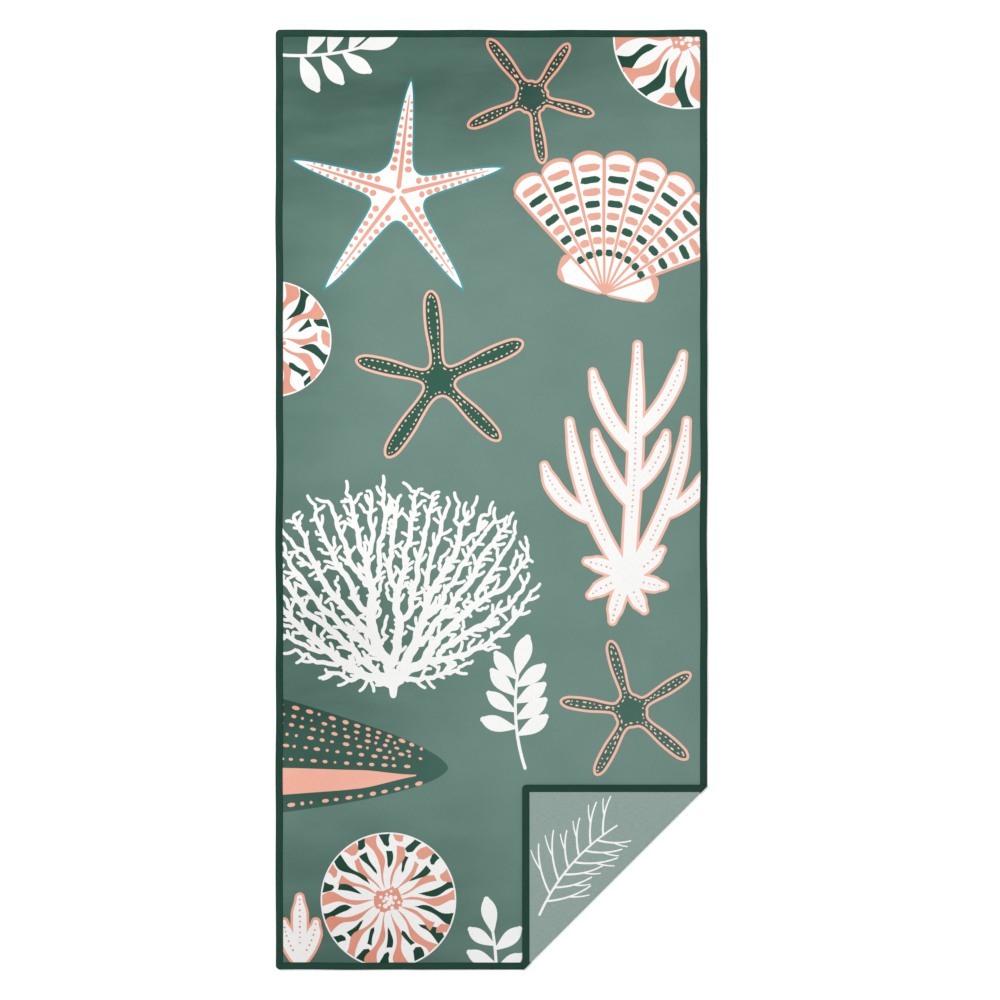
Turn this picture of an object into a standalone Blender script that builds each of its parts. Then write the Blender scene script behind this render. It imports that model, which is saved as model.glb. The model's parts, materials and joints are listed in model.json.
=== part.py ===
"""Quick dry travel towel, lying flat with its lower right corner turned over.

Units are metres and +Z is up. The towel lies on z = 0 with its printed face up. +Y runs along its
length, +X across it, and the origin is the middle of its underside.

One cloth is bound all round with a folded tape. A needle thread on the printed face and a bobbin
thread on the back hold the tape down. The turned-over corner is modelled lying flat and is then
swung over with the empty corner_fold_axis, whose X axis is the fold line.
"""

import math

import bmesh
import bpy
from mathutils import Matrix, Quaternion, Vector

# Driving dimensions
TOWEL_WIDTH = 0.900
TOWEL_LENGTH = 1.960
CORNER_RADIUS = 0.009
CLOTH_THICKNESS = 0.0008
BINDING_WIDTH = 0.015
BINDING_THICKNESS = 0.00065
SEAM_INSET = 0.0125
THREAD_WIDTH = 0.0006
THREAD_HEIGHT = 0.0002
FOLD_LEG = 0.386
FOLD_ANGLE = math.pi
FIT_GAP = 0.0003
CORNER_STEPS = 8
EDGE_STEPS = 6
BEND_STEPS = 10

# Derived dimensions
LAYER_THICKNESS = CLOTH_THICKNESS + 2 * (FIT_GAP + BINDING_THICKNESS)
CLOTH_BOTTOM = BINDING_THICKNESS + FIT_GAP
CLOTH_TOP = CLOTH_BOTTOM + CLOTH_THICKNESS
CLOTH_INSET = BINDING_THICKNESS + FIT_GAP
GROOVE_DEPTH = THREAD_HEIGHT + FIT_GAP
GROOVE_HALF_WIDTH = THREAD_WIDTH / 2 + FIT_GAP
FOLD_HEIGHT = LAYER_THICKNESS + FIT_GAP / 2
HALF_WIDTH = TOWEL_WIDTH / 2
HALF_LENGTH = TOWEL_LENGTH / 2
FOLD_LINE = Vector((1, 1, 0)).normalized()
FOLD_OUTWARD = Vector((1, -1, 0)).normalized()
FOLD_CENTRE = Vector((HALF_WIDTH - FOLD_LEG / 2, -HALF_LENGTH + FOLD_LEG / 2, FOLD_HEIGHT))

# Outward direction of each of the towel's edges
EDGES = {
    "top": Vector((0, 1, 0)),
    "left": Vector((-1, 0, 0)),
    "bottom": Vector((0, -1, 0)),
    "right": Vector((1, 0, 0)),
}
FOLDED_EDGES = ("bottom", "right")

# Colours as 8-bit sRGB
PRINT_GREEN = (113, 143, 133)
BINDING_GREEN = (37, 71, 59)
THREAD_GREEN = (24, 58, 47)


def clear_scene():
    for obj in list(bpy.data.objects):
        bpy.data.objects.remove(obj, do_unlink=True)


def linear(colour):
    """An 8-bit sRGB colour as linear RGBA."""
    shares = [value / 255 for value in colour]
    return [s / 12.92 if s <= 0.04045 else ((s + 0.055) / 1.055) ** 2.4 for s in shares] + [1.0]


def make_material(name, colour, roughness):
    material = bpy.data.materials.new(name)
    material.use_nodes = True
    shader = material.node_tree.nodes["Principled BSDF"]
    shader.inputs["Base Color"].default_value = linear(colour)
    shader.inputs["Roughness"].default_value = roughness
    shader.inputs["Metallic"].default_value = 0.0
    return material


def outline(inset):
    """The finished outline moved in by inset. Its rounded corners shrink to points inside their radius."""
    radius = max(CORNER_RADIUS - inset, 0.0)
    middle_x = HALF_WIDTH - inset - radius
    middle_y = HALF_LENGTH - inset - radius
    points = []
    for quarter, (side_x, side_y) in enumerate(((1, 1), (-1, 1), (-1, -1), (1, -1))):
        for step in range(CORNER_STEPS + 1):
            angle = math.pi / 2 * (quarter + step / CORNER_STEPS)
            x = side_x * middle_x + radius * math.cos(angle)
            y = side_y * middle_y + radius * math.sin(angle)
            points.append((x, y))
    return points


def swept_ring(section):
    """A closed section of (inset, z) points, swept all the way round the towel."""
    bm = bmesh.new()
    loops = [[bm.verts.new((x, y, z)) for x, y in outline(inset)] for inset, z in section]
    for loop, following in zip(loops, loops[1:] + loops[:1]):
        for i in range(len(loop)):
            bm.faces.new((loop[i - 1], loop[i], following[i], following[i - 1]))
    bmesh.ops.remove_doubles(bm, verts=bm.verts, dist=1e-6)
    bmesh.ops.recalc_face_normals(bm, faces=bm.faces)
    return bm


def extruded(points, offset):
    """A closed outline of points, extruded by offset."""
    bm = bmesh.new()
    face = bm.faces.new([bm.verts.new(point) for point in points])
    grown = bmesh.ops.extrude_face_region(bm, geom=[face])["geom"]
    moved = [item for item in grown if isinstance(item, bmesh.types.BMVert)]
    bmesh.ops.translate(bm, verts=moved, vec=offset)
    bmesh.ops.recalc_face_normals(bm, faces=bm.faces)
    return bm


def cut_away(bm, point, normal):
    """Removes what lies beyond the plane, on the side that its normal points to, and closes the cut."""
    geometry = bm.verts[:] + bm.edges[:] + bm.faces[:]
    bmesh.ops.bisect_plane(
        bm, geom=geometry, dist=1e-7, plane_co=point, plane_no=normal, clear_outer=True
    )
    bmesh.ops.holes_fill(bm, edges=bm.edges, sides=0)


def keep_panel_side(bm):
    """Leaves what lies on the towel's own side of the fold line."""
    cut_away(bm, FOLD_CENTRE - FOLD_OUTWARD * FIT_GAP / 2, FOLD_OUTWARD)


def keep_corner_side(bm):
    """Leaves the corner that is turned over."""
    cut_away(bm, FOLD_CENTRE + FOLD_OUTWARD * FIT_GAP / 2, -FOLD_OUTWARD)


def keep_edge(bm, outward):
    """Leaves one edge's run of a ring, between the two mitres at its ends."""
    along = Vector((-outward.y, outward.x, 0))
    cut_away(bm, Vector((0, 0, 0)), -outward)
    for end in (along, -along):
        corner = Vector(
            ((outward.x + end.x) * HALF_WIDTH, (outward.y + end.y) * HALF_LENGTH, 0)
        )
        beyond = (end - outward).normalized()
        cut_away(bm, corner - beyond * FIT_GAP / 2, beyond)


def binding_section():
    """The tape folded round the cloth's raw edge, with a groove for a thread in each outer face."""
    radius = LAYER_THICKNESS / 2
    inner = BINDING_THICKNESS
    groove_near = SEAM_INSET - GROOVE_HALF_WIDTH
    groove_far = SEAM_INSET + GROOVE_HALF_WIDTH
    folded_edge = []
    for step in range(EDGE_STEPS + 1):
        angle = math.pi / 2 - math.pi * step / EDGE_STEPS
        folded_edge.append((radius - radius * math.cos(angle), radius + radius * math.sin(angle)))
    return folded_edge + [
        (groove_near, 0.0),
        (groove_near, GROOVE_DEPTH),
        (groove_far, GROOVE_DEPTH),
        (groove_far, 0.0),
        (BINDING_WIDTH, 0.0),
        (BINDING_WIDTH, inner),
        (inner, inner),
        (inner, LAYER_THICKNESS - inner),
        (BINDING_WIDTH, LAYER_THICKNESS - inner),
        (BINDING_WIDTH, LAYER_THICKNESS),
        (groove_far, LAYER_THICKNESS),
        (groove_far, LAYER_THICKNESS - GROOVE_DEPTH),
        (groove_near, LAYER_THICKNESS - GROOVE_DEPTH),
        (groove_near, LAYER_THICKNESS),
    ]


def thread_section(bottom):
    """A thread lying along the seam, with its underside at bottom."""
    near = SEAM_INSET - THREAD_WIDTH / 2
    far = SEAM_INSET + THREAD_WIDTH / 2
    return [
        (near, bottom),
        (far, bottom),
        (far, bottom + THREAD_HEIGHT),
        (near, bottom + THREAD_HEIGHT),
    ]


def flat_cloth():
    """The whole cloth, cut to just inside the binding's folded edge."""
    points = [(x, y, CLOTH_BOTTOM) for x, y in dict.fromkeys(outline(CLOTH_INSET))]
    return extruded(points, Vector((0, 0, CLOTH_THICKNESS)))


def bend(inner_radius, outer_radius, overrun=0.0):
    """A half round along the fold line that joins the two layers, its legs lengthened by overrun."""
    section = []
    for radius, turn in ((outer_radius, 1), (inner_radius, -1)):
        arc = []
        for step in range(BEND_STEPS + 1):
            angle = turn * (math.pi * step / BEND_STEPS - math.pi / 2)
            arc.append((FIT_GAP / 2 + radius * math.cos(angle), radius * math.sin(angle)))
        if overrun:
            arc = [(-overrun, arc[0][1])] + arc + [(-overrun, arc[-1][1])]
        section += arc
    start = FOLD_CENTRE - FOLD_LINE * FOLD_LEG
    points = [start + FOLD_OUTWARD * across + Vector((0, 0, up)) for across, up in section]
    return extruded(points, FOLD_LINE * FOLD_LEG * 2)


def keep_band(bm, outward, near, far):
    """Leaves the band between two distances in from the edge that faces outward."""
    edge = Vector((outward.x * HALF_WIDTH, outward.y * HALF_LENGTH, 0))
    cut_away(bm, edge - outward * near, outward)
    cut_away(bm, edge - outward * far, -outward)


def cloth_bend():
    """The cloth's own bend, from binding to binding and on inside both of them."""
    inner_radius = FOLD_HEIGHT - CLOTH_TOP
    bm = bend(inner_radius, inner_radius + CLOTH_THICKNESS)
    for edge in FOLDED_EDGES:
        keep_band(bm, EDGES[edge], CLOTH_INSET, TOWEL_LENGTH)
    return bm


def add_object(name, bm, material, parent=None):
    mesh = bpy.data.meshes.new(name)
    bm.to_mesh(mesh)
    bm.free()
    mesh.shade_smooth()
    mesh.set_sharp_from_angle(angle=math.radians(35))
    mesh.materials.append(material)
    obj = bpy.data.objects.new(name, mesh)
    bpy.context.scene.collection.objects.link(obj)
    obj.parent = parent
    return obj


def add_corner_object(name, bm, material, fold):
    """A piece of the turned-over corner: its mesh lies flat, measured from the fold's empty."""
    bmesh.ops.transform(bm, matrix=Matrix.Translation(-FOLD_CENTRE), verts=bm.verts)
    return add_object(name, bm, material, fold)


def make_fold_empty():
    """The hinge of the turned-over corner. At rest it has swung the corner over the towel."""
    fold = bpy.data.objects.new("corner_fold_axis", None)
    bpy.context.scene.collection.objects.link(fold)
    fold.location = FOLD_CENTRE
    fold.rotation_mode = "QUATERNION"
    fold.rotation_quaternion = Quaternion(FOLD_LINE, -FOLD_ANGLE)
    return fold


def make_cloth(fold):
    panel = flat_cloth()
    keep_panel_side(panel)
    add_object("cloth_panel", panel, make_material("cloth_panel", PRINT_GREEN, 0.9))
    corner = flat_cloth()
    keep_corner_side(corner)
    add_corner_object("cloth_corner", corner, make_material("cloth_corner", PRINT_GREEN, 0.9), fold)
    add_object("cloth_fold", cloth_bend(), make_material("cloth_fold", PRINT_GREEN, 0.9))


def make_runs(stem, section, colour, roughness, fold):
    """One run along each edge, and the corner's own runs where the fold line cuts an edge."""
    for edge, outward in EDGES.items():
        run = swept_ring(section)
        keep_edge(run, outward)
        name = f"{stem}_{edge}"
        if edge in FOLDED_EDGES:
            corner_run = run.copy()
            keep_panel_side(run)
            keep_corner_side(corner_run)
            material = make_material(f"corner_{name}", colour, roughness)
            add_corner_object(f"corner_{name}", corner_run, material, fold)
        add_object(name, run, make_material(name, colour, roughness))


def make_binding_bend(edge):
    """The binding where it goes round the fold, hollow for the cloth's own bend."""
    outward = EDGES[edge]
    name = f"binding_fold_{edge}"
    body = bend(FIT_GAP / 2, FOLD_HEIGHT)
    keep_band(body, outward, 0.0, BINDING_WIDTH)
    obj = add_object(name, body, make_material(name, BINDING_GREEN, 0.8))
    inner_radius = FOLD_HEIGHT - CLOTH_TOP
    hollow = bend(
        inner_radius - FIT_GAP, inner_radius + CLOTH_THICKNESS + FIT_GAP, overrun=FIT_GAP
    )
    keep_band(hollow, outward, BINDING_THICKNESS, 2 * BINDING_WIDTH)
    cutter = add_object(f"{name}_hollow", hollow, obj.data.materials[0])
    cutter.hide_render = True
    cutter.display_type = "WIRE"
    boolean = obj.modifiers.new("hollow", "BOOLEAN")
    boolean.operation = "DIFFERENCE"
    boolean.object = cutter


def make_towel():
    clear_scene()
    fold = make_fold_empty()
    make_cloth(fold)
    make_runs("binding", binding_section(), BINDING_GREEN, 0.8, fold)
    needle_bottom = LAYER_THICKNESS - THREAD_HEIGHT
    make_runs("needle_thread", thread_section(needle_bottom), THREAD_GREEN, 0.6, fold)
    make_runs("bobbin_thread", thread_section(0.0), THREAD_GREEN, 0.6, fold)
    for edge in FOLDED_EDGES:
        make_binding_bend(edge)
    bpy.context.view_layer.update()


make_towel()
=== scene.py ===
"""Looks of the quick dry towel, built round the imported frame.

The towel is drawn flat first. Its print is a set of outlines in plan, each filled with one ink, and
the cloth's mesh is cut along them, so that every face has one ink on its front and one on its back.
The flat cloth and its binding are then divided at the fold line, and what lies beyond the line is
turned over with the corner. Plan positions are complex numbers in metres: x + y * 1j.
"""

import cmath
import json
import math
import random
from math import cos, pi, sin

import bmesh
import bpy
from mathutils import Matrix, Vector, noise
from mathutils.geometry import delaunay_2d_cdt
from mathutils.kdtree import KDTree


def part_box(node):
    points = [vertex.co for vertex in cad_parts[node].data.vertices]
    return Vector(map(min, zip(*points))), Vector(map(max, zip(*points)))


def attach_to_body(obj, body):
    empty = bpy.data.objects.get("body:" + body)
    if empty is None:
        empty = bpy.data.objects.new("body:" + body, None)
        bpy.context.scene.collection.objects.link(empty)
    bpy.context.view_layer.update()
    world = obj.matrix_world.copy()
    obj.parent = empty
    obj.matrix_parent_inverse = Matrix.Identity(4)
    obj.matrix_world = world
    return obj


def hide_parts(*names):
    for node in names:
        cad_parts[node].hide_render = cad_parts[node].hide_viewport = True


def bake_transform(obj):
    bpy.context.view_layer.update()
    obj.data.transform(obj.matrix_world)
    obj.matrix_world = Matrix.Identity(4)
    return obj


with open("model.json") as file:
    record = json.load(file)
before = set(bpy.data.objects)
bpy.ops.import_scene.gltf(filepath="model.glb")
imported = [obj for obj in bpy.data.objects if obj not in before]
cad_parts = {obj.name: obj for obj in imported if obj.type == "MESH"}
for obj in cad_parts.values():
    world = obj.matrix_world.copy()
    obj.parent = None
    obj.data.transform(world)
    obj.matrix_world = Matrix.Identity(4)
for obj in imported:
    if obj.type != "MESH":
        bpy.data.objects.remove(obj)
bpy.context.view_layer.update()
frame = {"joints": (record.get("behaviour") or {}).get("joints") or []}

# The frame's own sizes
TAPE_LEFT, TAPE_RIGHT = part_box("binding_left"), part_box("binding_right")
TAPE_TOP, TAPE_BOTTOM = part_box("binding_top"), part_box("binding_bottom")
CLOTH_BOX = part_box("cloth_panel")
STITCH_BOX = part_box("needle_thread_left")
LEFT, RIGHT = TAPE_LEFT[0].x, TAPE_RIGHT[1].x
BOTTOM, TOP = TAPE_BOTTOM[0].y, TAPE_TOP[1].y
TAPE_WIDTH = TAPE_LEFT[1].x - TAPE_LEFT[0].x
LAYER = TAPE_LEFT[1].z - TAPE_LEFT[0].z
CLOTH_INSET = CLOTH_BOX[0].x - LEFT
CLOTH_THICKNESS = CLOTH_BOX[1].z - CLOTH_BOX[0].z
CLOTH_LEVEL = (CLOTH_BOX[0].z + CLOTH_BOX[1].z) / 2
SEAM_INSET = (STITCH_BOX[0].x + STITCH_BOX[1].x) / 2 - LEFT
FOLD = frame["joints"][0]
FOLD_CENTRE = Vector(FOLD["pos_m"])
FOLD_LINE = Vector(FOLD["axis"]).normalized()
FOLD_OUTWARD = Vector((FOLD_LINE.y, -FOLD_LINE.x, 0.0))
FOLD_HEIGHT = FOLD_CENTRE.z
TURN_OVER = (
    Matrix.Translation(FOLD_CENTRE)
    @ Matrix.Rotation(-pi, 4, FOLD_LINE)
    @ Matrix.Translation(-FOLD_CENTRE)
)

# Sizes of what the frame doesn't hold
CORNER_RADIUS = 0.009
GRID_PITCH = 0.011
TAPE_PITCH = 0.004
STITCH_PITCH = 0.0032
STITCH_LENGTH = 0.0027
STITCH_RADIUS = 0.00024
OUTLINE_WIDTH = 0.0054
MERGE_DISTANCE = 1e-5

# Colours as 8-bit sRGB, and white as linear RGBA
INKS = {
    "ground": (113, 143, 133),
    "white": (254, 254, 253),
    "pink": (251, 194, 175),
    "pale_pink": (253, 214, 198),
    "shell_pink": (240, 178, 158),
    "mid_green": (74, 110, 98),
    "deep_green": (52, 97, 81),
    "teal": (88, 164, 168),
}
WHITE = (1.0, 1.0, 1.0, 1.0)
BINDING_COLOUR = (30, 69, 56)
# the tape's darker colour: for its random blotches, and for painted shade along its folded edges
BINDING_DARK_AND_EDGE_SHADE_COLOUR = (20, 54, 43)
THREAD_COLOUR = (24, 60, 48)


def linear(colour):
    """An 8-bit sRGB colour as linear RGBA."""
    shares = [value / 255 for value in colour]
    return [s / 12.92 if s <= 0.04045 else ((s + 0.055) / 1.055) ** 2.4 for s in shares] + [1.0]


def smoothstep(value):
    value = min(max(value, 0.0), 1.0)
    return value * value * (3 - 2 * value)


def polar(length, degrees):
    return cmath.rect(length, math.radians(degrees))


# -------- outlines in plan


def spline(a, b, c, d, t):
    """The point at t on a smooth line from b to c, where a comes before them and d after."""
    ease = 2 * a - 5 * b + 4 * c - d
    bend = 3 * b - a - 3 * c + d
    return 0.5 * (2 * b + (c - a) * t + ease * t**2 + bend * t**3)


def bent_line(start, degrees, length, bend, steps=10):
    """A line that sets off in a direction and turns evenly by bend degrees over its length."""
    line = [start]
    for i in range(steps):
        line.append(line[-1] + polar(length / steps, degrees + bend * (i + 0.5) / steps))
    return line


def closed_curve(points, steps):
    """A smooth closed line through the points."""
    count = len(points)
    line = []
    for i in range(count):
        a, b, c, d = (points[(i + k) % count] for k in (-1, 0, 1, 2))
        line += [spline(a, b, c, d, step / steps) for step in range(steps)]
    return line


def directions(line):
    """The unit direction of a line at each of its points."""
    steps = [b - a for a, b in zip(line[:-1], line[1:])]
    steps = [steps[0]] + [a + b for a, b in zip(steps, steps[1:])] + [steps[-1]]
    return [step / abs(step) for step in steps]


def length_of(line):
    return sum(abs(b - a) for a, b in zip(line, line[1:]))


def point_along(line, distance):
    """The point at this distance along a line, and the line's direction there in degrees."""
    for a, b in zip(line, line[1:]):
        length = abs(b - a)
        if distance <= length:
            break
        distance -= length
    return a + (b - a) * min(distance / length, 1.0), math.degrees(cmath.phase(b - a))


def moved_in(outline, distance):
    """A counterclockwise outline moved inwards."""
    ways = [b - a for a, b in zip(outline[-1:] + outline, outline[1:] + outline[:1])]
    return [point + 1j * distance * way / abs(way) for point, way in zip(outline, ways)]


def stroke(line, width, cap_steps=3):
    """A brush stroke along a line, with round ends. width gives its width at a share of the line."""
    ways = directions(line)
    last = len(line) - 1
    half = [width(i / last) / 2 for i in range(len(line))]
    right = [p - 1j * way * h for p, way, h in zip(line, ways, half)]
    left = [p + 1j * way * h for p, way, h in zip(line, ways, half)]
    turns = [pi * (i / (cap_steps + 1) - 0.5) for i in range(1, cap_steps + 1)]
    end_cap = [line[-1] + ways[-1] * half[-1] * cmath.exp(1j * turn) for turn in turns]
    start_cap = [line[0] - ways[0] * half[0] * cmath.exp(1j * turn) for turn in turns]
    return right + end_cap + left[::-1] + start_cap


def oval(centre, length, width, degrees=0.0, points=8):
    way = polar(1, degrees)
    angles = [2 * pi * i / points for i in range(points)]
    return [
        centre + way * complex(length / 2 * cos(angle), width / 2 * sin(angle))
        for angle in angles
    ]


# -------- the print's motifs


class Print:
    """Outlines in painting order, each filled with one ink."""

    def __init__(self, seed):
        self.shapes = []
        self.random = random.Random(seed)

    def add(self, outline, ink):
        self.shapes.append((outline, ink))

    def jitter(self, share):
        return 1 + self.random.uniform(-share, share)

    def row(self, line, ink, breadth, gap, lengths=(1.0,)):
        """A row of dots, or of dashes whose lengths are chosen multiples of their breadth."""
        reached = gap / 2
        while reached < length_of(line):
            place, degrees = point_along(line, reached)
            size = breadth * self.jitter(0.18)
            length = size * self.random.choice(lengths)
            self.add(oval(place, length, size, degrees), ink)
            reached += length + gap * self.jitter(0.25)

    def blot(self, centre, length, width, degrees, ink, points=20, rough=0.1):
        """An oblong patch with an uneven edge."""
        outline = []
        for i in range(points):
            angle = 2 * pi * i / points
            x = math.copysign(abs(cos(angle)) ** 0.6, cos(angle)) * length / 2
            y = math.copysign(abs(sin(angle)) ** 0.6, sin(angle)) * width / 2
            outline.append(centre + polar(1, degrees) * complex(x, y) * self.jitter(rough))
        self.add(outline, ink)


def star_arms(art, reach, turn):
    """The five arms of a starfish, as steps from its middle to their tips."""
    return [
        polar(reach * art.jitter(0.07), turn + 72 * k + art.random.uniform(-5, 5)) for k in range(5)
    ]


def star_outline(centre, arms, girths, valley):
    """A smooth line round a starfish. girths are (share of the arm, half width as a share of it)."""
    points = []
    for arm, following in zip(arms, arms[1:] + arms[:1]):
        points += [centre + arm * complex(share, -half) for share, half in girths]
        points.append(centre + arm)
        points += [centre + arm * complex(share, half) for share, half in reversed(girths)]
        between = arm / abs(arm) + following / abs(following)
        points.append(centre + valley * between / abs(between))
    return closed_curve(points, 9)


def smooth_starfish(art, centre, reach, turn, fill):
    """Even arms with a pink outline, and dashes all along inside it."""
    girths = ((0.28, 0.082), (0.6, 0.104), (0.86, 0.094), (0.965, 0.056))
    outline = star_outline(centre, star_arms(art, reach, turn), girths, 0.037)
    art.add(outline, "pink")
    art.add(moved_in(outline, OUTLINE_WIDTH), fill)
    rim = moved_in(outline, 2.05 * OUTLINE_WIDTH)
    art.row(rim, "pale_pink", 0.0032, 0.0062, (1.0, 1.5, 2.0, 2.6))


def ridged_starfish(art, centre, reach, turn):
    """Pointed white arms with a teal outline, a pink ridge in each and dots beside it."""
    girths = ((0.3, 0.107), (0.56, 0.081), (0.8, 0.054), (0.94, 0.028))
    arms = star_arms(art, reach, turn)
    outline = star_outline(centre, arms, girths, 0.062)
    art.add(outline, "teal")
    art.add(moved_in(outline, 0.8 * OUTLINE_WIDTH), "white")
    for arm in arms:
        ridge = [centre + arm * (0.05 + 0.1 * i) for i in range(9)]
        art.add(stroke(ridge, lambda t: 0.0088 * (1 - t) ** 0.8 + 0.0014, 1), "shell_pink")
        for i in range(9):
            size = 0.0136 - 0.00105 * i
            for side in (1, -1):
                place = centre + arm * complex(0.21 + 0.072 * i, side * 0.064 * (1 - 0.07 * i))
                art.add(oval(place, size * art.jitter(0.15), size, points=10), "shell_pink")


def leaf(art, base, degrees, length, bend):
    """A white leaf with a narrow foot, broadest beyond its middle."""

    def width(t):
        return 0.0042 + 0.4 * length * sin(pi * t**1.35 * 0.93) ** 0.8

    art.add(stroke(bent_line(base, degrees, length, bend, 18), width, 3), "white")


def sprig(art, foot, degrees, length, bend, pairs, leaf_length):
    """A bent white stem with pairs of leaves along it and one at its end."""
    stem = bent_line(foot, degrees, length, bend)
    art.add(stroke(stem, lambda t: 0.0068 - 0.0012 * t), "white")
    for k in range(pairs):
        for side in (1, -1):
            base, way = point_along(stem, length * (0.36 + 0.62 * k / pairs + 0.035 * side))
            splay = side * (72 - 26 * k / pairs) * art.jitter(0.08)
            leaf(art, base, way + splay, leaf_length * art.jitter(0.08), -14 * side)
    tip, way = point_along(stem, length)
    leaf(art, tip, way, leaf_length * 1.15, bend / 4)


def finger_coral(art, foot, height, spreads, roots, extra=0):
    """Blunt white fingers that part from one foot and from each other, outlined, with rows of dots.

    spreads are the first fingers' angles off the vertical, roots the directions of the short ones at
    the foot, and extra the number of tries at a side finger, which mustn't run into another.
    """
    width = 0.0245
    fingers = []
    for spread in spreads:
        length = height * (1 - abs(spread) / 120)
        fingers.append(bent_line(foot, 90 + spread, length, -0.85 * spread, 16))
    for _try in range(extra):
        parent = art.random.choice(fingers[: len(spreads)])
        length = height * art.random.uniform(0.2, 0.42)
        base, way = point_along(parent, length_of(parent) * art.random.uniform(0.28, 0.72))
        degrees = way + 50 * art.random.choice((-1, 1))
        side_finger = bent_line(base, degrees, length, 0.8 * (90 - degrees), 12)
        reached = side_finger[-1] - foot
        others = [point for finger in fingers for point in finger]
        clear = all(abs(p - q) > 1.5 * width for p in side_finger[5:] for q in others)
        if clear and abs(reached.real) < 0.36 * height and reached.imag < height:
            fingers.append(side_finger)
    fingers += [bent_line(foot, degrees, art.random.uniform(0.06, 0.1), 20) for degrees in roots]

    def finger_width(t):
        return width * (1.05 + 0.1 * sin(pi * t) - 0.6 * smoothstep((t - 0.74) / 0.26))

    for edge, ink in ((2 * OUTLINE_WIDTH, "pink"), (0.0, "white")):
        for line in fingers:
            art.add(stroke(line, lambda t: finger_width(t) + edge, 5), ink)
    for line in fingers:
        art.row(line[4:], "shell_pink", 0.0044, 0.0068)


def grown_branches(art, root, spacing):
    """Points and parents of a coral that grows, a step at a time, to wherever its fan is empty."""
    goals = []
    half_width, height, tallest = 0.55, 0.56, 0.415
    trunk, past_edge = 0.03, 0.05
    for row in range(round(height / spacing)):
        for column in range(round(2 * half_width / spacing)):
            shift = complex(art.random.uniform(-0.4, 0.4), art.random.uniform(-0.4, 0.4))
            place = complex(column * spacing - half_width, row * spacing) + shift * spacing
            degrees = math.degrees(cmath.phase(place))
            rim = tallest * smoothstep(min(degrees + 16, 196 - degrees) / 66)
            if trunk < abs(place) < rim and abs(root.real + place.real) < RIGHT + past_edge:
                goals.append(root + place)
    step = spacing * 0.5
    points, parents = [root], [None]
    for k in range(6):
        last = 0
        for i in range(1, 6 + 3 * (k % 2)):
            points.append(root + polar(i * step, 22 + 27 * k + 7 * sin(2.0 * i + k)))
            parents.append(last)
            last = len(points) - 1
    pull_reach, filled, rounds = spacing * 2.6, spacing * 0.75, 110
    for _round in range(rounds):
        tree = tree_of(points)
        pulls = {}
        for goal in goals:
            _place, nearest, distance = tree.find((goal.real, goal.imag, 0))
            if distance < pull_reach:
                pulls.setdefault(nearest, []).append((goal - points[nearest]) / distance)
        grown = []
        for nearest, ways in pulls.items():
            way = sum(ways) + polar(0.45, art.random.uniform(0, 360))
            points.append(points[nearest] + step * way / abs(way))
            parents.append(nearest)
            grown.append(points[-1])
        goals = [goal for goal in goals if all(abs(goal - point) > filled for point in grown)]
        if not goals or not grown:
            break
    add_twigs(art, points, parents, step)
    return points, parents


def tree_of(points):
    """A search tree of plan points."""
    tree = KDTree(len(points))
    for i, point in enumerate(points):
        tree.insert((point.real, point.imag, 0), i)
    tree.balance()
    return tree


def add_twigs(art, points, parents, step):
    """Short side twigs wherever there is room for them."""
    tree = tree_of(points)
    for i in range(20, len(points)):
        if art.random.random() < 0.35:
            continue
        way = (points[i] - points[parents[i]]) / step
        side = art.random.choice((-1, 1))
        last = i
        for k in range(1, 5):
            place = points[last] + step * way * polar(1, side * (62 - 11 * k))
            if tree.find((place.real, place.imag, 0))[2] < min(0.75 * k * step, 0.0082):
                break
            points.append(place)
            parents.append(last)
            last = len(points) - 1


def fan_coral(art, root, spacing):
    """A dense white fan of fine branches, thicker towards its root."""
    points, parents = grown_branches(art, root, spacing)
    load = [1] * len(points)
    for i in range(len(points) - 1, 0, -1):
        load[parents[i]] += load[i]
    drawn = {0}
    for tip in sorted(range(len(points)), key=lambda i: -abs(points[i] - root)):
        chain = [tip]
        while chain[0] not in drawn:
            drawn.add(chain[0])
            chain.insert(0, parents[chain[0]])
        if len(chain) > 2:
            widths = [min(0.0056 + 0.0008 * load[i] ** 0.47, 0.022) for i in chain]
            line = [points[i] for i in chain]
            art.add(stroke(line, lambda t: widths[round(t * (len(line) - 1))], 2), "white")
    art.add(stroke([root - 0.022j, root - 0.008j, root + 0.01j], lambda t: 0.014 + 0.008 * t), "white")


def shell_stripe(art, hub, radius, degrees, shares, breadth, phase, ink):
    """A wavy stripe of a round shell between two shares of its radius."""
    edges = {-1: [], 1: []}
    for i in range(21):
        share = shares[0] + (shares[1] - shares[0]) * i / 20
        meander = 0.7 * breadth * sin(phase + 9 * share)
        swell = 1 + 0.25 * sin(phase * 2 + 15 * share)
        half = breadth * (0.35 + 0.65 * share) * swell * smoothstep((i + 1) / 5)
        for side, edge in edges.items():
            edge.append(hub + polar(radius * share, degrees + meander + side * half))
    art.add(edges[-1] + edges[1][::-1], ink)


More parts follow.
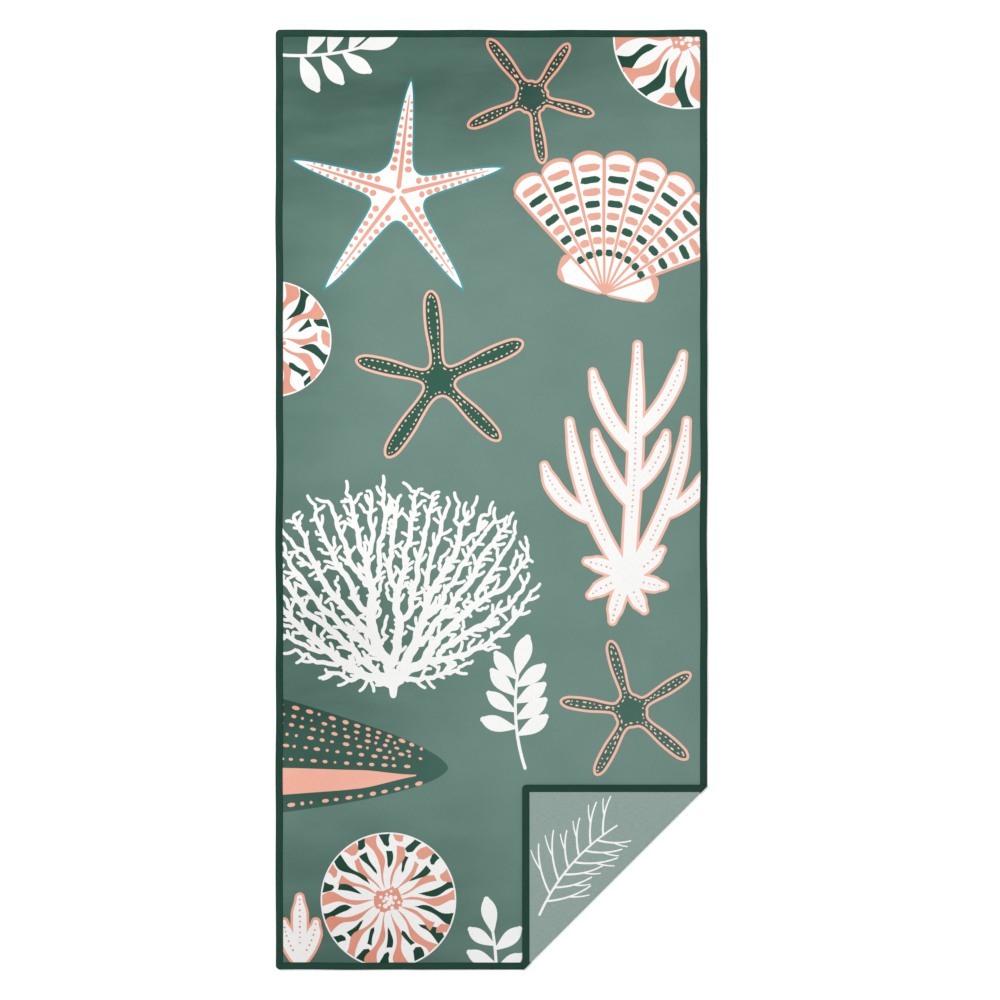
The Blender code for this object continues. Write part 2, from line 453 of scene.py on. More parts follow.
def round_shell(art, hub, radius, stripes):
    """A round white shell with wavy pink and green stripes that run in to its crown."""
    art.add(oval(hub, 2.02 * radius, 2.02 * radius, points=120), "white")
    step = 360 / stripes
    for k in range(stripes):
        for beside, ink, breadth in ((0.0, "shell_pink", 0.2), (0.5, "deep_green", 0.17)):
            angle = step * (k + beside + art.random.uniform(-0.07, 0.07))
            phase = art.random.uniform(0, 6)
            start = 0.16 if beside == 0 else art.random.uniform(0.36, 0.58)
            gap = art.random.uniform(0.7, 0.84)
            broken = art.random.random() < 0.4
            pieces = ((start, gap), (gap + 0.06, 0.99)) if broken else ((start, 0.99),)
            for shares in pieces:
                shell_stripe(art, hub, radius, angle, shares, step * breadth, phase, ink)
    art.blot(hub, radius * 0.4, radius * 0.34, 15, "shell_pink", 26, 0.16)
    for k in range(14):
        spot = hub + polar(radius * (0.03 + 0.01 * k), 137.5 * k)
        size = radius * art.random.uniform(0.035, 0.075)
        art.add(oval(spot, size, size, points=14), "white")


def scallop(art, hinge, reach, turn, spread, ribs):
    """A scallop: ribs with patches that alternate in ink, a rim of round lobes and two ears."""

    def rim_point(share, scale):
        lobe = abs(sin(pi * ribs * share)) ** 0.5
        return hinge + polar(reach * scale * (0.93 + 0.07 * lobe), turn + spread * (share - 0.5))

    for side in (1, -1):
        way = polar(reach, turn + side * spread / 2)
        corners = (0.0, 0.36, polar(0.37, 18 * side), polar(0.3, 32 * side))
        ear = [hinge + way * corner for corner in corners]
        art.add(closed_curve(ear[::side], 4), "shell_pink")
        art.add([hinge + (p - hinge) * 0.94 for p in ear], "white")
    for scale, ink in ((1.0, "shell_pink"), (0.972, "white")):
        art.add([hinge] + [rim_point(i / (12 * ribs), scale) for i in range(12 * ribs + 1)], ink)
    for k in range(ribs + 1):
        tip = rim_point(k / ribs, 0.99)
        line = [hinge + (tip - hinge) * i / 6 for i in range(7)]
        art.add(stroke(line, lambda t: 0.0046 + 0.003 * t, 1), "shell_pink")
    rib_width = 2 * pi * reach * (spread / ribs) / 360
    for k in range(ribs):
        angle = turn + spread * ((k + 0.5) / ribs - 0.5)
        for patch in range(8):
            share = 0.88 - 0.085 * patch
            place = hinge + polar(reach * share, angle)
            ink = "deep_green" if patch % 2 else "shell_pink"
            art.blot(place, 0.7 * rib_width * share, 0.05 * reach, angle + 90, ink)


def cone_shell(art, tip, turn, length, breadth):
    """A pointed green shell with a pink mouth, and rows of dashes that run out from its tip."""

    def flank(share, along):
        """A point by its share of the breadth there, and how far along the shell it is."""
        return tip + polar(1, turn) * complex(length * along, breadth * share * along**0.6)

    along = [(i / 24) ** 1.6 for i in range(1, 25)]
    body = [flank(-0.5, t) for t in along] + [flank(0.5, t) for t in reversed(along)]
    art.add([tip] + body, "mid_green")
    gape = [(t, 0.12 * smoothstep((t - 0.08) / 0.4)) for t in along[7:]]
    lip = [flank(0.22 - half, t) for t, half in gape]
    art.add(lip + [flank(0.22 + half, t) for t, half in reversed(gape)], "pink")
    for k, share in enumerate((0.44, 0.02, -0.1, -0.2, -0.29, -0.37, -0.45)):
        line = [flank(share, t) for t in along[6 + 2 * (k % 3) :]]
        art.row(line, "pink", 0.0078 if k in (0, 6) else 0.0066, 0.0125, (1.0, 1.5, 1.9))


def frond(art, foot, degrees, length, bend, twigs):
    """A thin white branch with forked twigs, placed as it shows on the turned-over corner."""
    fold_gap = 0.003
    stem = bent_line(foot, degrees, length, bend)
    lines = [(stem, 0.0052)]
    for k in range(twigs):
        for side in (1, -1):
            base, way = point_along(stem, length * (0.16 + 0.8 * (k + 0.25 * side) / twigs))
            reach = length * art.jitter(0.15) * (0.4 - 0.02 * k)
            twig = bent_line(base, way + side * 58, reach, -32 * side)
            fork = bent_line(twig[5], way + side * 66, reach * 0.42, -20 * side)
            lines += [(twig, 0.0044), (fork, 0.0036)]
    for line, width in lines:
        flat = [p for p in map(turned, line) if beyond_fold(p.real, p.imag) > fold_gap]
        if len(flat) > 2:
            art.add(stroke(flat, lambda t: width * (1 - 0.35 * t), 2), "white")


def turned(point):
    """Where a point of the turned-over corner lies on the flat cloth."""
    way = complex(FOLD_LINE.x, FOLD_LINE.y)
    centre = complex(FOLD_CENTRE.x, FOLD_CENTRE.y)
    return centre + way * way * (point - centre).conjugate()


def paint_towel():
    """The whole print, from the top edge down, and last what shows on the turned-over corner."""
    art = Print(seed=11)
    round_shell(art, 0.405 + 0.965j, 0.150, 10)
    sprig(art, -0.465 + 0.930j, -8, 0.21, 26, 3, 0.074)
    ridged_starfish(art, -0.195 + 0.640j, 0.240, 15)
    smooth_starfish(art, 0.085 + 0.840j, 0.145, 60, "mid_green")
    scallop(art, 0.235 + 0.430j, 0.300, 76, 112, 8)
    round_shell(art, -0.455 + 0.335j, 0.120, 10)
    smooth_starfish(art, -0.110 + 0.250j, 0.190, 96, "deep_green")
    finger_coral(art, 0.285 - 0.160j, 0.50, (-36, -4, 36), (28, 150, 196, 240, 285, 335), 500)
    fan_coral(art, -0.205 - 0.385j, 0.0125)
    sprig(art, 0.070 - 0.560j, 108, 0.22, -30, 4, 0.070)
    smooth_starfish(art, 0.290 - 0.440j, 0.155, 30, "mid_green")
    cone_shell(art, -0.090 - 0.560j, 176, 0.38, 0.25)
    round_shell(art, -0.215 - 0.835j, 0.140, 14)
    finger_coral(art, -0.400 - 0.960j, 0.13, (-40, 0, 40), ())
    sprig(art, 0.010 - 1.020j, 88, 0.13, 12, 2, 0.062)
    frond(art, 0.100 - 0.865j, 66, 0.25, -34, 6)
    return art.shapes


# -------- the flat towel


def lying(x, y):
    """Where a point of the flat towel lies: its new x and y, and how far it stands off the floor.

    Long soft waves lift the cloth and let its edges wander, and die out round the corner.
    """
    flap_x = FOLD_CENTRE.x * 2 - RIGHT
    flap_y = FOLD_CENTRE.y * 2 - BOTTOM
    calm = smoothstep(max(flap_x - x, y - flap_y) / 0.3)
    lift = 0.0
    for height, length, degrees, phase in (
        (0.0016, 0.46, 28, 0.4),
        (0.0010, 0.27, 118, 1.9),
        (0.0006, 0.15, 52, 3.1),
    ):
        way = polar(1, degrees)
        warp = 0.9 * noise.noise(Vector((x * 2.1, y * 2.1, length)))
        across = (x * way.real + y * way.imag) / length * 2 * pi
        lift += calm * height * (0.5 + 0.5 * sin(across + phase + warp))
    wander = calm * 0.0022
    wander_x = wander * noise.noise(Vector((0.0, y * 6.0, 3.0)))
    wander_y = wander * noise.noise(Vector((x * 6.0, 0.0, 7.0)))
    return x + wander_x, y + wander_y, lift


def wash_and_shade(x, y):
    """How dark the towel is made there: partly the print's tonal wash and partly painted shade of soft
    folds, from 0 in the middle to about 1 at the dark corners.
    """
    # pools of print wash and painted shade: centre x, centre y, reach x, reach y, depth
    pools = (
        (-0.25, 0.93, 0.46, 0.26, 1.05),
        (0.25, 0.98, 0.50, 0.14, 0.40),
        (-0.47, 0.42, 0.15, 0.42, 0.62),
        (-0.41, -0.32, 0.27, 0.22, 0.95),
        (-0.32, -0.91, 0.36, 0.24, 0.92),
        (0.46, 0.20, 0.06, 0.90, 0.10),
    )
    total = 0.0
    for centre_x, centre_y, reach_x, reach_y, depth in pools:
        away = ((x - centre_x) / reach_x) ** 2 + ((y - centre_y) / reach_y) ** 2
        total += depth * math.exp(-away)
    return min(total, 1.1)


def outline_loop(inset, pitch):
    """The towel's outline with its round corners, moved in by inset, with a point at each pitch."""
    radius = max(CORNER_RADIUS - inset, 0.0)
    middle_x = (RIGHT - LEFT) / 2 - inset - radius
    middle_y = (TOP - BOTTOM) / 2 - inset - radius
    corner_steps = 8
    points = []
    for quarter, (side_x, side_y) in enumerate(((1, 1), (-1, 1), (-1, -1), (1, -1))):
        centre = complex(side_x * middle_x, side_y * middle_y)
        for step in range(corner_steps + 1):
            points.append(centre + polar(radius, 90 * (quarter + step / corner_steps)))
        following = complex(-side_y * middle_x, side_x * middle_y)
        arc_end, next_start = points[-1], following + polar(radius, 90 * (quarter + 1))
        length = (TOP - BOTTOM) if quarter % 2 else (RIGHT - LEFT)
        steps = round(length / pitch)
        points += [arc_end + (next_start - arc_end) * i / steps for i in range(1, steps)]
    return points


def area_of(outline):
    return sum((a.conjugate() * b).imag for a, b in zip(outline, outline[1:] + outline[:1])) / 2


def cut_cloth(shapes):
    """The flat cloth's points, and its triangles, whose edges follow the print, with their inks."""
    edge = list(dict.fromkeys(outline_loop(CLOTH_INSET, GRID_PITCH)))
    shapes = [(edge, "ground")] + shapes
    points, faces = [], []
    for outline, _ink in shapes:
        faces.append(list(range(len(points), len(points) + len(outline))))
        points += outline if area_of(outline) > 0 else outline[::-1]
    fold_edge = (len(points), len(points) + 1)
    reach = FOLD_LINE * (RIGHT - FOLD_CENTRE.x) * 1.5
    for end in (FOLD_CENTRE - reach, FOLD_CENTRE + reach):
        points.append(complex(end.x, end.y))
    columns = int((RIGHT - LEFT) / GRID_PITCH)
    rows = int((TOP - BOTTOM) / GRID_PITCH)
    for row in range(1, rows):
        for column in range(1, columns):
            shift = 0.5 * (row % 2)
            points.append(complex(LEFT + GRID_PITCH * (column + shift), BOTTOM + GRID_PITCH * row))
    corners = [Vector((p.real, p.imag)) for p in points]
    made = delaunay_2d_cdt(corners, [fold_edge], faces, 0, MERGE_DISTANCE)
    origins = zip(made[2], made[5])
    return made[0], [(face, shapes[max(origin)][1]) for face, origin in origins if 0 in origin]


def beyond_fold(x, y):
    """How far a plan point is beyond the fold line."""
    return (x - FOLD_CENTRE.x) * FOLD_OUTWARD.x + (y - FOLD_CENTRE.y) * FOLD_OUTWARD.y


def linked(name, data):
    """A new object of the scene."""
    obj = bpy.data.objects.new(name, data)
    bpy.context.scene.collection.objects.link(obj)
    return obj


def new_object(name, vertices, faces):
    mesh = bpy.data.meshes.new(name)
    mesh.from_pydata(vertices, [], faces)
    mesh.validate()
    mesh.shade_smooth()
    return linked(name, mesh)


def store(mesh, name, kind, domain, key, values):
    """Stores a value for each of a mesh's faces or points."""
    mesh.attributes.new(name, kind, domain).data.foreach_set(key, values)


def closed_sheet(name, fronts, backs, faces, plan):
    """A closed sheet of cloth between its front and back points.

    faces holds the front's faces, which run round as seen in front, each with its ink. plan is where
    each point is on the flat cloth.
    """
    count = len(fronts)
    ink_at = {}
    for face, ink in faces:
        for edge in zip(face, face[1:] + face[:1]):
            ink_at[edge] = ink
    rim = [edge for edge in ink_at if edge[::-1] not in ink_at]
    everything = [face for face, _ink in faces]
    everything += [[i + count for i in reversed(face)] for face, _ink in faces]
    everything += [(a + count, b + count, b, a) for a, b in rim]
    obj = new_object(name, fronts + backs, everything)
    mesh = obj.data
    inks = [ink for _face, ink in faces] * 2 + [ink_at[edge] for edge in rim]
    places = plan * 2
    colours = [value for ink in inks for value in linear(INKS[ink])]
    store(mesh, "ink", "FLOAT_COLOR", "FACE", "color", colours)
    store(mesh, "plan", "FLOAT_VECTOR", "POINT", "vector", [v for x, y in places for v in (x, y, 0.0)])
    # depth of the print's wash and of the painted shade at each point
    store(mesh, "wash_and_shade", "FLOAT", "POINT", "value", [wash_and_shade(x, y) for x, y in places])
    mesh.materials.append(MATERIALS["cloth_front"])
    mesh.materials.append(MATERIALS["cloth_back"])
    sides = [0] * len(faces) + [1] * (len(everything) - len(faces))
    mesh.polygons.foreach_set("material_index", sides)
    return obj


def flat_piece(name, places, triangles):
    """A part of the flat cloth; places holds the plan of every vertex of the whole cloth."""
    used = sorted({i for triangle, _ink in triangles for i in triangle})
    number = {old: new for new, old in enumerate(used)}
    plan = [(places[i].x, places[i].y) for i in used]
    lain = [lying(x, y) for x, y in plan]
    fronts, backs = (
        [(x, y, CLOTH_LEVEL + side * CLOTH_THICKNESS / 2 + lift) for x, y, lift in lain]
        for side in (1, -1)
    )
    faces = [([number[i] for i in triangle], ink) for triangle, ink in triangles]
    obj = closed_sheet(name, fronts, backs, faces, plan)
    obj.data.shade_flat()
    return obj


def make_cloth():
    """The cloth up to the fold line, the turned-over corner, and the bend between them."""
    places, triangles = cut_cloth(paint_towel())
    sides = {"towel_cloth": [], "corner_cloth": []}
    for triangle, ink in triangles:
        middle = sum((places[i] for i in triangle), Vector((0, 0))) / 3
        inner = beyond_fold(*middle) < 0
        sides["towel_cloth" if inner else "corner_cloth"].append((triangle, ink))
    made = {name: flat_piece(name, places, side) for name, side in sides.items()}
    made["corner_cloth"].data.transform(TURN_OVER)
    made["cloth_bend"] = make_cloth_bend(places, sides["towel_cloth"])
    return made


def make_cloth_bend(places, triangles):
    """A half round that carries each of the panel's edges along the fold line over to the corner.

    Towards the two ends of the fold line it leans, so that it follows the towel's own edges.
    """
    steps = 12
    half_line = (RIGHT - FOLD_CENTRE.x) / FOLD_LINE.x
    middle = FOLD_HEIGHT - CLOTH_LEVEL
    fronts, backs, faces, plan = [], [], [], []
    number = {}

    def column(i):
        """The points of the half round at one place along the fold line."""
        if i not in number:
            number[i] = len(fronts)
            for step in range(steps + 1):
                angle = pi * (step / steps - 0.5)
                base = Vector((places[i].x, places[i].y, FOLD_HEIGHT))
                along = (base - FOLD_CENTRE).dot(FOLD_LINE) / half_line
                outward = FOLD_OUTWARD - FOLD_LINE * along
                way = outward * cos(angle) + Vector((0, 0, sin(angle)))
                fronts.append(base + way * (middle - CLOTH_THICKNESS / 2))
                backs.append(base + way * (middle + CLOTH_THICKNESS / 2))
                plan.append((places[i].x, places[i].y))
        return number[i]

    for triangle, ink in triangles:
        for a, b in zip(triangle, triangle[1:] + triangle[:1]):
            if max(abs(beyond_fold(*places[end])) for end in (a, b)) > MERGE_DISTANCE:
                continue
            first, second = column(a), column(b)
            for i in range(steps):
                faces.append(((first + i, first + i + 1, second + i + 1, second + i), ink))
    return closed_sheet("cloth_bend", fronts, backs, faces, plan)


# -------- the binding


def tape_section():
    """The folded tape's closed section, as (inset, height over the layer's middle) points."""
    half = LAYER / 2
    inner = CLOTH_THICKNESS / 2 + 0.00004
    crown = 0.00026
    groove = 0.00028
    soft_edge = 0.0004
    upper = []
    for step in range(5):
        angle = pi / 2 * step / 4
        upper.append((half * (1 - cos(angle)), half * sin(angle)))
    for step in range(1, 6):
        share = step / 6
        inset = half + (SEAM_INSET - half) * share
        upper.append((inset, half + crown * sin(pi * share)))
    rest = TAPE_WIDTH - SEAM_INSET
    upper += [
        (SEAM_INSET, half - groove),
        (SEAM_INSET + rest * 0.45, half + 0.00004),
        (TAPE_WIDTH - soft_edge, half - 0.00006),
        (TAPE_WIDTH, half - soft_edge),
        (TAPE_WIDTH - 0.0001, inner),
        (CLOTH_INSET, inner),
    ]
    return upper + [(inset, -height) for inset, height in reversed(upper[1:])]


def make_tape_ring():
    """The binding all round the flat towel, as a bmesh. Its tape layer holds run, inset and height."""
    bm = bmesh.new()
    layer = bm.verts.layers.float_vector.new("tape")
    loops = []
    for inset, height in tape_section():
        loop = []
        run = 0.0
        outline = outline_loop(inset, TAPE_PITCH)
        for i, p in enumerate(outline):
            run += abs(p - outline[i - 1]) if i else 0.0
            pucker = noise.noise(Vector((p.real * 130, p.imag * 130, height * 400)))
            slack = 0.00016 * pucker * smoothstep(inset / 0.004) * (1 if height > 0 else -0.3)
            z = LAYER / 2 + height + (slack if abs(height) > LAYER / 4 else 0.0)
            x, y, lift = lying(p.real, p.imag)
            vertex = bm.verts.new((x, y, max(z, 0.0) + lift))
            vertex[layer] = Vector((run, inset, height))
            loop.append(vertex)
        loops.append(loop)
    for loop, following in zip(loops, loops[1:] + loops[:1]):
        for i in range(len(loop)):
            bm.faces.new((loop[i - 1], loop[i], following[i], following[i - 1]))
    bmesh.ops.remove_doubles(bm, verts=bm.verts, dist=0.1 * MERGE_DISTANCE)
    bmesh.ops.recalc_face_normals(bm, faces=bm.faces)
    return bm


def tape_object(name, bm):
    mesh = bpy.data.meshes.new(name)
    bm.to_mesh(mesh)
    bm.free()
    mesh.shade_smooth()
    mesh.set_sharp_from_angle(angle=math.radians(50))
    mesh.materials.append(MATERIALS["binding"])
    return linked(name, mesh)


def fold_plane_cut(bm, normal):
    """Removes what lies beyond the fold line on the side of normal, and returns the cut's edges."""
    whole = bm.verts[:] + bm.edges[:] + bm.faces[:]
    on_plane = 0.01 * MERGE_DISTANCE
    cut = bmesh.ops.bisect_plane(
        bm, geom=whole, dist=on_plane, plane_co=FOLD_CENTRE, plane_no=normal, clear_outer=True
    )
    return [item for item in cut["geom_cut"] if isinstance(item, bmesh.types.BMEdge)]


def make_tape_bend(name, ring_cut):
    """The binding round the fold: its cut outline swept half a turn about the fold line."""
    steps = 14
    bm = bmesh.new()
    layer = bm.verts.layers.float_vector.new("tape")
    shear = -1 if "right" in name else 1
    columns = {}

    def column(place, tape):
        key = tuple(round(value, 7) for value in place)
        if key not in columns:
            radius = FOLD_HEIGHT - place.z
            made = []
            for step in range(steps + 1):
                angle = pi * step / steps
                out = FOLD_OUTWARD * radius * sin(angle)
                along = FOLD_LINE * shear * abs(radius) * sin(angle)
                up = Vector((0, 0, FOLD_HEIGHT - radius * cos(angle) - place.z))
                vertex = bm.verts.new(place + out + along + up)
                vertex[layer] = tape
                made.append(vertex)
            columns[key] = made
        return columns[key]

    for pair in ring_cut:
        first, second = (column(*end) for end in pair)
        for step in range(steps):
            bm.faces.new((first[step], second[step], second[step + 1], first[step + 1]))
    bmesh.ops.recalc_face_normals(bm, faces=bm.faces)
    return tape_object(name, bm)


def make_binding():
    """The binding on the towel, the binding on the turned-over corner, and their two bends."""
    ring = make_tape_ring()
    corner = ring.copy()
    cut = fold_plane_cut(ring, FOLD_OUTWARD)
    fold_plane_cut(corner, -FOLD_OUTWARD)
    layer = ring.verts.layers.float_vector["tape"]
    ends = {"binding_bend_right": [], "binding_bend_bottom": []}
    for edge in cut:
        pair = [(vertex.co.copy(), vertex[layer].copy()) for vertex in edge.verts]
        right = pair[0][0].x > FOLD_CENTRE.x
        ends["binding_bend_right" if right else "binding_bend_bottom"].append(pair)
    made = {name: make_tape_bend(name, pairs) for name, pairs in ends.items()}
    for bm in (ring, corner):
        bmesh.ops.holes_fill(bm, edges=bm.edges, sides=0)
    corner.transform(TURN_OVER)
    for name, bm in (("towel_binding", ring), ("corner_binding", corner)):
        made[name] = tape_object(name, bm)
    return made


# -------- the stitches


def seam_places():
    """The middle and direction of each stitch along the seam, all round the flat towel."""
    left, right = LEFT + SEAM_INSET, RIGHT - SEAM_INSET
    bottom, top = BOTTOM + SEAM_INSET, TOP - SEAM_INSET
    corners = [complex(right, bottom), complex(right, top), complex(left, top), complex(left, bottom)]
    places = []
    for start, end in zip(corners, corners[1:] + corners[:1]):
        count = round(abs(end - start) / STITCH_PITCH)
        way = (end - start) / abs(end - start)
        places += [(start + (end - start) * (i + 0.5) / count, way) for i in range(count)]
    return places


def stitch_mesh(places, side):
    """Vertices and faces of plump thread stitches, on the front (side 1) or the back (side -1)."""
    sides = 6
    profile = ((-0.5, 0.25), (-0.36, 0.85), (0.0, 1.15), (0.36, 0.85), (0.5, 0.25))
    sunk = 0.00012
    vertices, faces = [], []
    for flat_centre, way in places:
        x, y, lift = lying(flat_centre.real, flat_centre.imag)
        centre = complex(x, y)
        tilt = way * cmath.exp(0.06j * side)
        base = len(vertices)
        for along, girth in profile:
            ring_centre = centre + tilt * along * STITCH_LENGTH
            dip = 0.00022 * (2 * along) ** 2
            height = LAYER / 2 + side * (LAYER / 2 - sunk - dip) + lift
            for k in range(sides):
                angle = 2 * pi * k / sides
                p = ring_centre + 1j * tilt * STITCH_RADIUS * 1.35 * girth * cos(angle)
                z = height + STITCH_RADIUS * girth * sin(angle)
                vertices.append((p.real, p.imag, max(z, 0.0)))
        for ring in range(len(profile) - 1):
            for k in range(sides):
                a, b = base + ring * sides + k, base + ring * sides + (k + 1) % sides
                faces.append((a, b, b + sides, a + sides))
        faces.append([base + k for k in reversed(range(sides))])
        faces.append([base + (len(profile) - 1) * sides + k for k in range(sides)])
    return vertices, faces


def make_stitches():
    """Needle thread on the front and bobbin thread on the back, on the towel and on its corner."""
    made = {}
    places = seam_places()
    margin = STITCH_LENGTH / 2
    for part, sign in (("towel", -1), ("corner", 1)):
        members = [p for p in places if sign * beyond_fold(p[0].real, p[0].imag) > margin]
        for thread, side in (("needle", 1), ("bobbin", -1)):
            name = f"{part}_{thread}_stitches"
            obj = new_object(name, *stitch_mesh(members, side))
            obj.data.materials.append(MATERIALS["thread"])
            if part == "corner":
                obj.data.transform(TURN_OVER)
            made[name] = obj
    return made


# -------- materials


class Nodes:
    """Short ways to build a material's node tree."""

    def __init__(self, name):
        self.material = bpy.data.materials.new(name)
        self.material.use_nodes = True
        self.tree = self.material.node_tree
        self.shader = self.tree.nodes["Principled BSDF"]

    def add(self, kind, inputs=(), **settings):
        """A node with its settings, and with inputs as (socket, value or linked socket) pairs."""
        node = self.tree.nodes.new(kind)
        for key, value in settings.items():
            setattr(node, key, value)
        for socket, value in inputs:
            self.feed(node.inputs[socket], value)
        return node

    def feed(self, socket, value):
        if isinstance(value, bpy.types.NodeSocket):
            self.tree.links.new(value, socket)
        else:
            socket.default_value = value

    def attribute(self, name, output):
        return self.add("ShaderNodeAttribute", attribute_name=name).outputs[output]

    def math(self, operation, a, b=0.0):
        return self.add("ShaderNodeMath", [(0, a), (1, b)], operation=operation).outputs[0]

    def split(self, vector):
        return self.add("ShaderNodeSeparateXYZ", [("Vector", vector)]).outputs

    def noise(self, vector, scale, detail=2.0, stretch=(1, 1, 1), turn=0.0):
        placing = [("Vector", vector), ("Scale", stretch), ("Rotation", (0, 0, math.radians(turn)))]
        place = self.add("ShaderNodeMapping", placing).outputs[0]
        inputs = [("Vector", place), ("Scale", scale), ("Detail", detail)]
        return self.add("ShaderNodeTexNoise", inputs).outputs["Fac"]

    def ramp(self, value, low, high, to_low, to_high):
        ends = [("From Min", low), ("From Max", high), ("To Min", to_low), ("To Max", to_high)]
        inputs = [("Value", value)] + ends
        return self.add("ShaderNodeMapRange", inputs, interpolation_type="SMOOTHSTEP").outputs[0]

    def spread(self, noise, low, high):
        """A noise, which mostly stays between 0.3 and 0.7, spread from low to high."""
        return self.ramp(noise, 0.3, 0.7, low, high)

    def wave(self, value, pitch):
        """A sine wave along a value in metres."""
        return self.math("SINE", self.math("MULTIPLY", value, 2 * pi / pitch))

    def mix(self, share, a, b):
        inputs = [("Factor", share), ("A", a), ("B", b)]
        node = self.add("ShaderNodeMix", inputs, data_type="RGBA")
        return next(socket for socket in node.outputs if socket.type == "RGBA")

    def bump(self, height, distance, strength=1.0, normal=None):
        inputs = [("Height", height), ("Distance", distance), ("Strength", strength)]
        inputs += [] if normal is None else [("Normal", normal)]
        return self.add("ShaderNodeBump", inputs).outputs[0]

    def finish(self, **values):
        for name, value in values.items():
            self.feed(self.shader.inputs[name.replace("_", " ")], value)
        return self.material


def cloth_material(name, paleness, wash_and_shade_depth, mottle):
    """Printed microfibre suede: the ink, deepened by the print's wash and by painted shade of soft
    folds, over a plain weave with a short nap.

    paleness is how much of the bare white cloth shows, as it does where the print strikes through.
    """
    nodes = Nodes(name)
    thread_pitch = 0.0009
    plan = nodes.attribute("plan", "Vector")
    # depth of the print's wash and of the painted shade of soft folds, drawn out in diagonal streaks
    # and clouds
    streaks = nodes.noise(plan, 4.2, 4.0, (1.0, 3.2, 1.0), -24)
    clouds = nodes.noise(plan, 9.0, 3.0)
    streaked = nodes.spread(streaks, 0.75, 1.2)
    depth = nodes.math("MULTIPLY", nodes.attribute("wash_and_shade", "Fac"), streaked)
    depth = nodes.math("ADD", depth, nodes.ramp(clouds, 0.35, 0.7, -0.03, 0.05))
    depth = nodes.math("MULTIPLY", depth, wash_and_shade_depth)
    gamma = nodes.math("ADD", nodes.math("MULTIPLY", depth, 0.42), 1.0)
    ink = nodes.attribute("ink", "Color")
    inked = nodes.add("ShaderNodeGamma", [("Color", ink), ("Gamma", gamma)])
    shown = nodes.mix(paleness, inked.outputs[0], WHITE)
    threads = nodes.noise(plan, 420.0, 1.0, (1.0, 0.22, 1.0))
    grain = nodes.spread(threads, 1.0 - mottle, 1.0 + mottle)
    # painted shade: darkens every ink, the white as well, where that depth is greatest
    painted_shade = nodes.math("SUBTRACT", 1.0, nodes.math("MULTIPLY", depth, 0.13))
    inputs = [(0, shown), ("Scale", nodes.math("MULTIPLY", grain, painted_shade))]
    colour = nodes.add("ShaderNodeVectorMath", inputs, operation="SCALE")
    nap = nodes.noise(plan, 1500.0, 2.0)
    across, along = (nodes.wave(part, thread_pitch) for part in nodes.split(plan)[:2])
    woven = nodes.math("MULTIPLY", across, along)
    height = nodes.math("ADD", nodes.math("MULTIPLY", woven, 0.5), nap)
    fine = nodes.bump(height, 0.00004)
    rumples = nodes.noise(plan, 14.0, 3.0)
    normal = nodes.bump(rumples, 0.0022, 0.55, fine)
    return nodes.finish(
        Base_Color=colour.outputs[0],
        Roughness=nodes.spread(nap, 0.82, 0.96),
        Normal=normal,
        Specular_IOR_Level=0.2,
        Sheen_Weight=0.06,
        Sheen_Roughness=0.45,
    )


def binding_material():
    """Woven tape: crosswise ribs, random darker blotches, and painted shade darkening it along its two
    folded edges.
    """
    nodes = Nodes("binding")
    tape = nodes.attribute("tape", "Vector")
    run, inset, _height = nodes.split(tape)
    rib = nodes.wave(run, pitch=0.0007)
    warp = nodes.wave(inset, pitch=0.0006)
    # painted shade: the tape darkens towards its outer and inner folded edges, where it rounds over
    outer = nodes.ramp(inset, 0.0006, 0.0028, 1.0, 0.0)
    inner = nodes.ramp(inset, SEAM_INSET + 0.0004, TAPE_WIDTH - 0.0004, 0.0, 1.0)
    edges = nodes.math("MAXIMUM", outer, inner)
    blotches = nodes.noise(tape, 60.0, 3.0)
    middle_colour, dark_and_edge_shade_colour = linear(BINDING_COLOUR), linear(BINDING_DARK_AND_EDGE_SHADE_COLOUR)
    base = nodes.mix(nodes.spread(blotches, 0.0, 0.22), middle_colour, dark_and_edge_shade_colour)
    # painted shade laid over both edges in the tape's darker colour
    colour = nodes.mix(nodes.math("MULTIPLY", edges, 0.85), base, dark_and_edge_shade_colour)
    height = nodes.math("ADD", rib, nodes.math("MULTIPLY", warp, 0.5))
    normal = nodes.bump(height, 0.00005, 1.0, nodes.bump(nodes.noise(tape, 220.0, 2.0), 0.0003))
    return nodes.finish(
        Base_Color=colour,
        Roughness=nodes.spread(blotches, 0.68, 0.84),
        Normal=normal,
        Specular_IOR_Level=0.2,
        Sheen_Weight=0.03,
        Sheen_Roughness=0.4,
    )


def thread_material():
    """Twisted polyester thread."""
    nodes = Nodes("thread")
    place = nodes.add("ShaderNodeTexCoord").outputs["Object"]
    fibres = nodes.noise(place, 2600.0, 2.0)
    fuzz = nodes.spread(fibres, 0.0, 0.5)
    colour = nodes.mix(fuzz, linear(THREAD_COLOUR), linear(BINDING_COLOUR))
    return nodes.finish(
        Base_Color=colour,
        Roughness=nodes.spread(fibres, 0.45, 0.65),
        Normal=nodes.bump(fibres, 0.00004),
        Specular_IOR_Level=0.45,
    )


def floor_material():
    nodes = Nodes("studio_floor")
    place = nodes.add("ShaderNodeTexCoord").outputs["Object"]
    tone = nodes.ramp(nodes.noise(place, 0.7, 2.0), 0.2, 0.8, 0.0, 1.0)
    colour = nodes.mix(tone, (0.93, 0.93, 0.93, 1.0), (0.95, 0.95, 0.95, 1.0))
    return nodes.finish(
        Base_Color=colour,
        Roughness=0.9,
        Specular_IOR_Level=0.1,
        Emission_Color=WHITE,
        Emission_Strength=0.3,
    )


# -------- studio


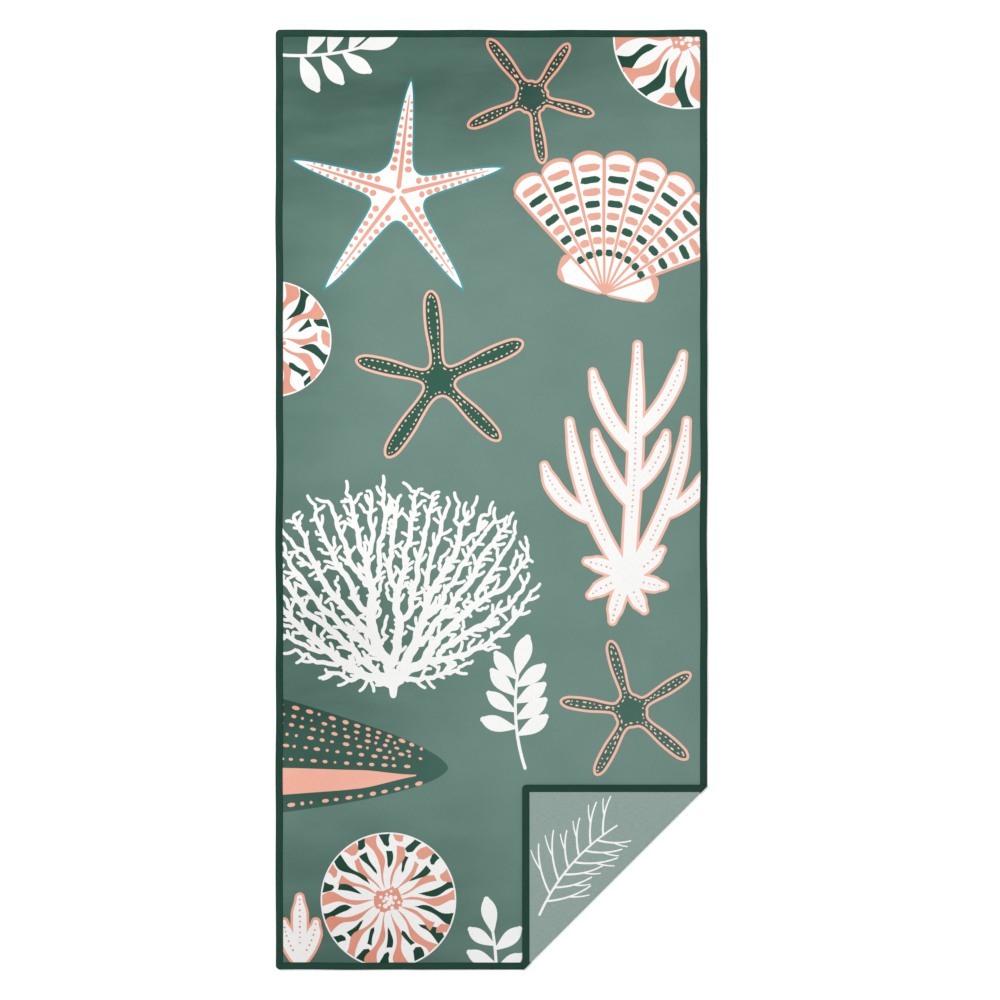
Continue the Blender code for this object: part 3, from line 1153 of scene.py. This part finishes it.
def make_studio():
    """A white floor, an even white dome and one soft key light from the upper left."""
    reach, drop = 40.0, -0.0002
    corners = [(x * reach, y * reach, drop) for x, y in ((-1, -1), (1, -1), (1, 1), (-1, 1))]
    floor = new_object("studio_floor", corners, [(0, 1, 2, 3)])
    floor.data.materials.append(floor_material())
    world = bpy.data.worlds.new("studio")
    bpy.context.scene.world = world
    world.use_nodes = True
    background = world.node_tree.nodes["Background"]
    background.inputs["Color"].default_value = WHITE
    background.inputs["Strength"].default_value = 0.56
    light = bpy.data.lights.new("softbox", "AREA")
    light.shape = "DISK"
    light.size = 2.6
    light.energy = 200.0
    softbox = linked("softbox", light)
    softbox.location = (-2.9, 2.6, 4.2)
    softbox.rotation_mode = "QUATERNION"
    softbox.rotation_quaternion = (-softbox.location).to_track_quat("-Z", "Y")
    bpy.context.scene.view_settings.view_transform = "Standard"
    return floor


def make_camera():
    """Straight above the towel, with the towel a little left of the picture's middle."""
    lens = bpy.data.cameras.new("camera")
    lens.lens = 100.0
    lens.sensor_width = 36.0
    camera = linked("camera", lens)
    view_width = 2.0855
    camera.location = (0.0177, -0.0004, view_width * lens.lens / lens.sensor_width + LAYER)
    bpy.context.scene.camera = camera


# -------- the towel on the frame


def attach(pieces):
    """Each towel and corner piece rides on its body, the bends keep their places unparented, and the
    frame nodes that the pieces stand for are hidden.
    """
    parts = (
        ("towel", "towel", "cloth_panel", "", ("top", "left", "bottom", "right")),
        ("corner", "folded_corner", "cloth_corner", "corner_", ("bottom", "right")),
    )
    for part, body, cloth_node, prefix, edges in parts:
        stands_for = {
            "cloth": [cloth_node],
            "binding": [f"{prefix}binding_{edge}" for edge in edges],
            "needle_stitches": [f"{prefix}needle_thread_{edge}" for edge in edges],
            "bobbin_stitches": [f"{prefix}bobbin_thread_{edge}" for edge in edges],
        }
        for kind, nodes in stands_for.items():
            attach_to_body(pieces[f"{part}_{kind}"], body)
            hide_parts(*nodes)
    bends = {
        "cloth_bend": ("cloth_fold", CLOTH_LEVEL),
        "binding_bend_right": ("binding_fold_right", 0.0),
        "binding_bend_bottom": ("binding_fold_bottom", 0.0),
    }
    for name, (node, start) in bends.items():
        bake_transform(pieces[name])
        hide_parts(node)
    slots = {"cloth": "printed_cloth", "stitches": "sewing_thread", "binding": "binding_tape"}
    for name, piece in pieces.items():
        kind = next(kind for kind in slots if kind in name)


MATERIALS = {
    "cloth_front": cloth_material("cloth_front", 0.0, 1.0, 0.022),
    "cloth_back": cloth_material("cloth_back", 0.165, 0.25, 0.05),
    "binding": binding_material(),
    "thread": thread_material(),
}
make_camera()
studio_floor = make_studio()
towel = {**make_cloth(), **make_binding(), **make_stitches()}
attach(towel)
